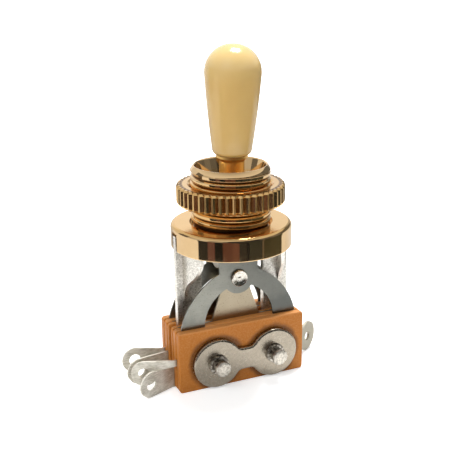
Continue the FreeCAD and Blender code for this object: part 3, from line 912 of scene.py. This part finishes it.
# %% Seams of resin
seam_half_length = 5.6 * MM
seam_depth = 2.59 * MM
seam_height = (plate_top - 0.2) * MM
for side, facing in (("front", -1), ("rear", 1)):
    bead = Growth(side + "_resin_seam", {
        "Bead radius": 0.3 * MM,
        "Roughness of run": 0.09 * MM,
        "Grain": 1200.0,
        "Points": 90,
    })
    line = bead.add("GeometryNodeCurvePrimitiveLine", {}, {
        "Start": (-seam_half_length, facing * seam_depth, seam_height),
        "End": (seam_half_length, facing * seam_depth, seam_height),
    })[0]
    line = bead.add("GeometryNodeResampleCurve", {}, {
        "Curve": line, "Count": bead.size("Points"),
    })[0]
    shake = bead.add("ShaderNodeTexNoise", {}, {
        "Vector": bead.add("GeometryNodeInputPosition")[0],
        "Scale": bead.size("Grain"),
        "Detail": 2.0,
    })["Color"]
    centred = bead.add("ShaderNodeVectorMath", {"operation": "SUBTRACT"}, {
        0: shake, 1: (0.5, 0.5, 0.5),
    })[0]
    pushed = bead.add("ShaderNodeVectorMath", {"operation": "SCALE"}, {
        0: centred, "Scale": bead.size("Roughness of run"),
    })[0]
    line = bead.add("GeometryNodeSetPosition", {}, {"Geometry": line, "Offset": pushed})[0]
    ring = bead.add("GeometryNodeCurvePrimitiveCircle", {}, {
        "Resolution": 12, "Radius": bead.size("Bead radius"),
    })[0]
    bar = bead.add("GeometryNodeCurveToMesh", {}, {
        "Curve": line, "Profile Curve": ring, "Fill Caps": True,
    })[0]
    seam_mesh = bead.take(bar, phenolic)
    smooth_by_angle(seam_mesh, degrees=60)
    seam = shown(seam_mesh, phenolic)
    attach(seam, "housing")

# %% [markdown]
# ## The studio
#
# The floor is pale paper that turns white away from the switch, and so does the world
# behind it. Mirrors see the world dimmed towards its top, so that the gold has a shape.

# %% Floor and world
floor_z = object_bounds()[0].z
floor_half = 3.0
white_start = 45
white_full = 150


def seen_by(circuit, *kinds):
    """1 for rays of the given kinds and 0 for the others."""
    path = circuit.add("ShaderNodeLightPath").socket.node
    seen = Signal(circuit, path.outputs["Is " + kinds[0] + " Ray"])
    for kind in kinds[1:]:
        seen = seen.at_least(Signal(circuit, path.outputs["Is " + kind + " Ray"]))
    return seen


def soft_white(circuit, shader, share):
    """Adds light that only the camera, mirrors and clear pieces see, for a white ground."""
    seen = seen_by(circuit, "Camera", "Glossy", "Transmission")
    glow = circuit.add("ShaderNodeEmission", {}, {"Color": (1, 1, 1), "Strength": 1.0})
    lit = circuit.add("ShaderNodeAddShader", {}, {0: shader, 1: glow})
    return circuit.add("ShaderNodeMixShader", {}, {0: seen * share, 1: shader, 2: lit})


floor_material = bpy.data.materials.new("floor")
circuit = Circuit(floor_material)
paper = circuit.add("ShaderNodeBsdfDiffuse", {}, {"Color": (0.8, 0.8, 0.8)})
distance = circuit.add("ShaderNodeVectorMath", {"operation": "LENGTH"}, {0: circuit.place()},
                       out="Value")
whiteness = 0.45 + circuit.step(distance, white_start, white_full) * 0.5
whiteness = whiteness * (1.0 - seen_by(circuit, "Glossy") * 0.7)
circuit.add("ShaderNodeOutputMaterial", {}, {"Surface": soft_white(circuit, paper, whiteness)})
floor_corners = [(x * floor_half, y * floor_half, floor_z)
                 for x, y in ((-1, -1), (1, -1), (1, 1), (-1, 1))]
floor_mesh = bpy.data.meshes.new("floor")
floor_mesh.from_pydata(floor_corners, [], [(0, 1, 2, 3)])
floor = shown(floor_mesh, floor_material)

world = bpy.data.worlds.new("studio")
bpy.context.scene.world = world
circuit = Circuit(world)
height = circuit.axis(circuit.add("ShaderNodeTexCoord"), "Z")
dimmed = circuit.ramp(height, [(0.0, 1.0), (0.3, 0.95), (0.74, 0.72), (1.0, 0.42)])
room = circuit.add("ShaderNodeBackground", {}, {"Color": (1, 1, 1), "Strength": 0.26})
night = circuit.add("ShaderNodeBackground", {}, {"Color": (0, 0, 0), "Strength": 1.0})
white = circuit.add("ShaderNodeBackground", {}, {"Color": (1, 1, 1), "Strength": 1.0})
sheen = circuit.add("ShaderNodeMixShader", {}, {0: dimmed, 1: night, 2: white})
mirrored = seen_by(circuit, "Glossy")
sky = circuit.add("ShaderNodeMixShader", {}, {0: mirrored, 1: room, 2: sheen})
looked_at = seen_by(circuit, "Camera", "Transmission")
sky = circuit.add("ShaderNodeMixShader", {}, {0: looked_at, 1: sky, 2: white})
circuit.add("ShaderNodeOutputWorld", {}, {"Surface": sky})
print("floor at", round(floor_z / MM, 2), "mm")

# %% [markdown]
# ## Reflection cards
#
# Polished gold shows whatever stands round it, so product photographers ring it with
# cards. Here one ring of light and dark stripes stands round the switch, in a low row
# and a high row. Only mirror rays see it: it casts no shadow and the camera looks
# through it. Each stripe is the angle in degrees, round from +X, at which it starts, and
# its grey or colour.

# %% Ring of cards
card_ring_r = 62 * MM
card_low = floor_z + 0.5 * MM
card_high = 36 * MM
card_split = 2 * MM
ring_steps = 90
rose = (0.15, 0.085, 0.085)
rust = (0.12, 0.06, 0.05)
brick = (0.15, 0.08, 0.065)
moss = (0.045, 0.05, 0.045)
sand = (0.16, 0.14, 0.12)
olive = (0.06, 0.06, 0.04)
pale_olive = (0.075, 0.075, 0.05)
low_stripes = [
    (0, 0.9), (40, 1.0), (66, 0.6), (98, 0.7), (118, 1.0), (186, 0.035), (204, rose),
    (217, 0.015), (231, rust), (248, brick), (259, 0.04), (272, 0.02), (278, moss),
    (302, sand), (305, olive), (318, pale_olive), (348, 0.95),
]
high_stripes = [
    (0, 0.16), (35, 0.5), (48, 1.0), (60, 1.1), (80, 1.05), (104, 0.8), (138, 0.16),
    (164, 0.57), (190, 0.7), (204, 0.35), (232, 0.2), (240, 0.05), (280, 0.03),
    (296, 0.14), (322, 0.2), (345, 0.14),
]


def card_colour(circuit):
    """The stripe at each angle round Z, from the low or the high row."""
    raw = circuit.add("ShaderNodeTexCoord", out="Object")
    x, y, z = [circuit.axis(raw, letter) for letter in "XYZ"]
    angle = circuit.add("ShaderNodeMath", {"operation": "ARCTAN2"}, {0: y, 1: x}) / (2 * math.pi)
    turn = circuit.add("ShaderNodeMath", {"operation": "FRACT"}, {0: angle + 1.0})
    low_row, high_row = [
        circuit.ramp(turn, [(degrees / 360, colour) for degrees, colour in stripes], "CONSTANT")
        for stripes in (low_stripes, high_stripes)
    ]
    return circuit.mix(z > card_split, low_row, high_row)


card_material = bpy.data.materials.new("reflection_cards")
circuit = Circuit(card_material)
glow = circuit.add("ShaderNodeEmission", {}, {"Color": card_colour(circuit), "Strength": 1.0})
circuit.add("ShaderNodeOutputMaterial", {}, {"Surface": glow})
ring_points = []
ring_faces = []
for i in range(ring_steps):
    angle = 2 * math.pi * i / ring_steps
    for height in (card_low, card_high):
        ring_points.append((card_ring_r * math.cos(angle), card_ring_r * math.sin(angle), height))
    here, there = 2 * i, 2 * ((i + 1) % ring_steps)
    ring_faces.append((here, here + 1, there + 1, there))
card_mesh = bpy.data.meshes.new("reflection_cards")
card_mesh.from_pydata(ring_points, [], ring_faces)
cards = shown(card_mesh, card_material)
cards.visible_camera = False
cards.visible_diffuse = False
cards.visible_shadow = False
cards.visible_transmission = False
print("cards:", len(low_stripes), "low and", len(high_stripes), "high stripes")

# %% [markdown]
# ## Lamps
#
# The light is soft, from three large lamps: a key from the left, a weak fill from the
# right, and one above that the gold may mirror.

# %% Three lamps
def soft_lamp(name, position, size, watts, mirrored=False):
    """A square lamp that faces the origin. Mirrors show it only if asked."""
    data = bpy.data.lights.new(name, "AREA")
    data.shape = "SQUARE"
    data.size = size
    data.energy = watts
    lamp = bpy.data.objects.new(name, data)
    lamp.location = position
    lamp.rotation_euler = (-Vector(position)).to_track_quat("-Z", "Y").to_euler()
    lamp.visible_glossy = mirrored
    bpy.context.collection.objects.link(lamp)


soft_lamp("key_lamp", (-0.30, -0.20, 0.34), size=0.34, watts=1.5)
soft_lamp("fill_lamp", (0.36, -0.22, 0.16), size=0.30, watts=0.2)
soft_lamp("top_lamp", (0.10, 0.10, 0.42), size=0.14, watts=2.9, mirrored=True)
bpy.context.scene.view_settings.view_transform = "Standard"
print("three soft lamps")
